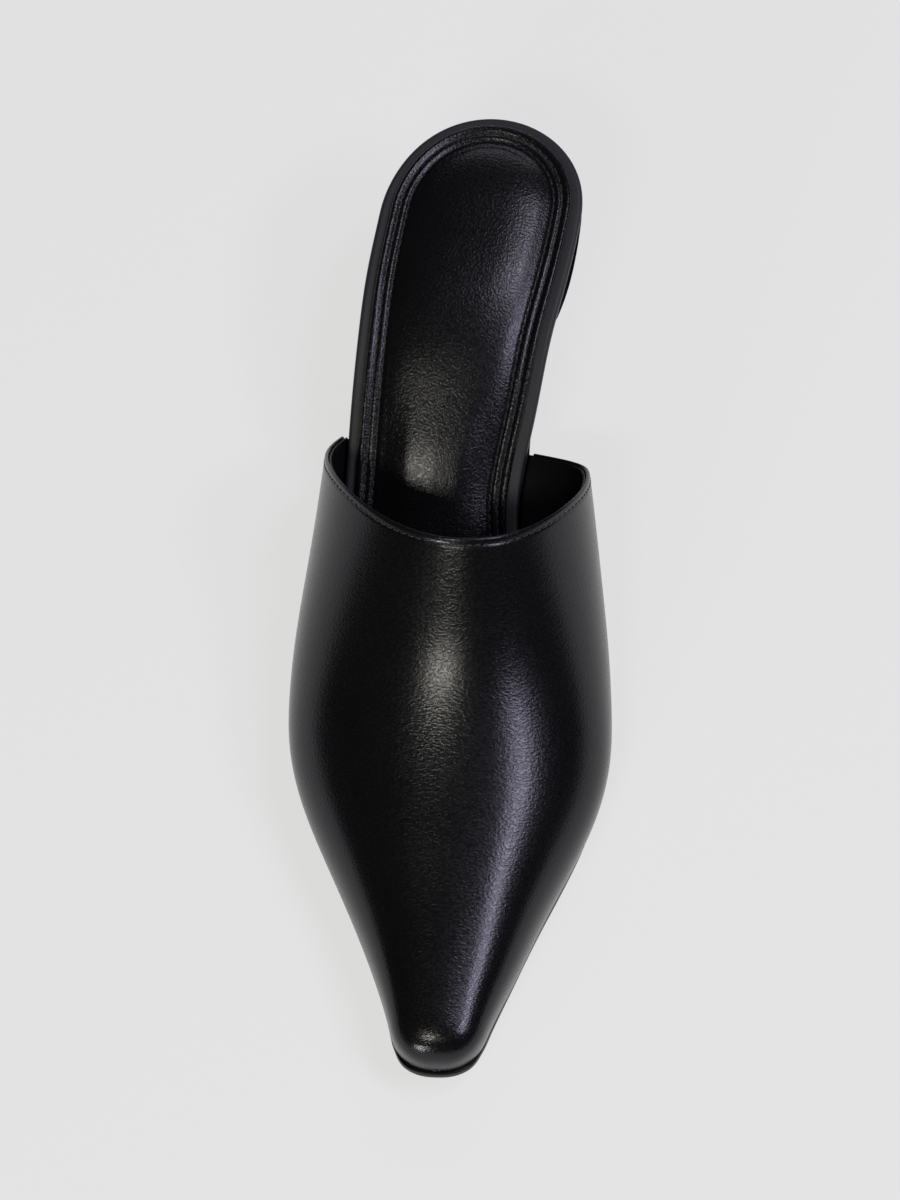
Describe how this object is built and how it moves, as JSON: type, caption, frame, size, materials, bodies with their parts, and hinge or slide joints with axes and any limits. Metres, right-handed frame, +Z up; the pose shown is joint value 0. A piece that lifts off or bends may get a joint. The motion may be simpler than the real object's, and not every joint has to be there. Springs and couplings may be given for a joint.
{
  "type": "mule shoe",
  "caption": "backless closed-toe mule in smooth black leather, with a narrow square-ended toe, slanting top line, padded footbed and low covered block heel",
  "frame": {"origin": "on the floor plane, under the middle of the shoe's bounding box", "axes": "+X is the medial side (the side of the big toe), +Y runs from toe to heel so the toe points along -Y, +Z is up"},
  "size_m": [0.0852, 0.255, 0.0708],
  "materials": {
    "upper_leather": "smooth black calf with a fine pebble, semi-gloss",
    "footbed_leather": "soft black sheepskin over foam, low sheen, two rows of black stitching",
    "rim_leather": "black leather wrapped round the board's edge, semi-gloss",
    "sole_leather": "black leather sole with a polished, inked edge",
    "heel_cover": "heel block covered in the same black calf as the upper",
    "top_piece": "matt black rubber"
  },
  "bodies": {
    "root": {"upper": "upper_leather", "sock": "footbed_leather", "insole": "rim_leather", "outsole": "sole_leather", "heel_block": "heel_cover", "heel_top_piece": "top_piece"}
  },
  "joints": []
}
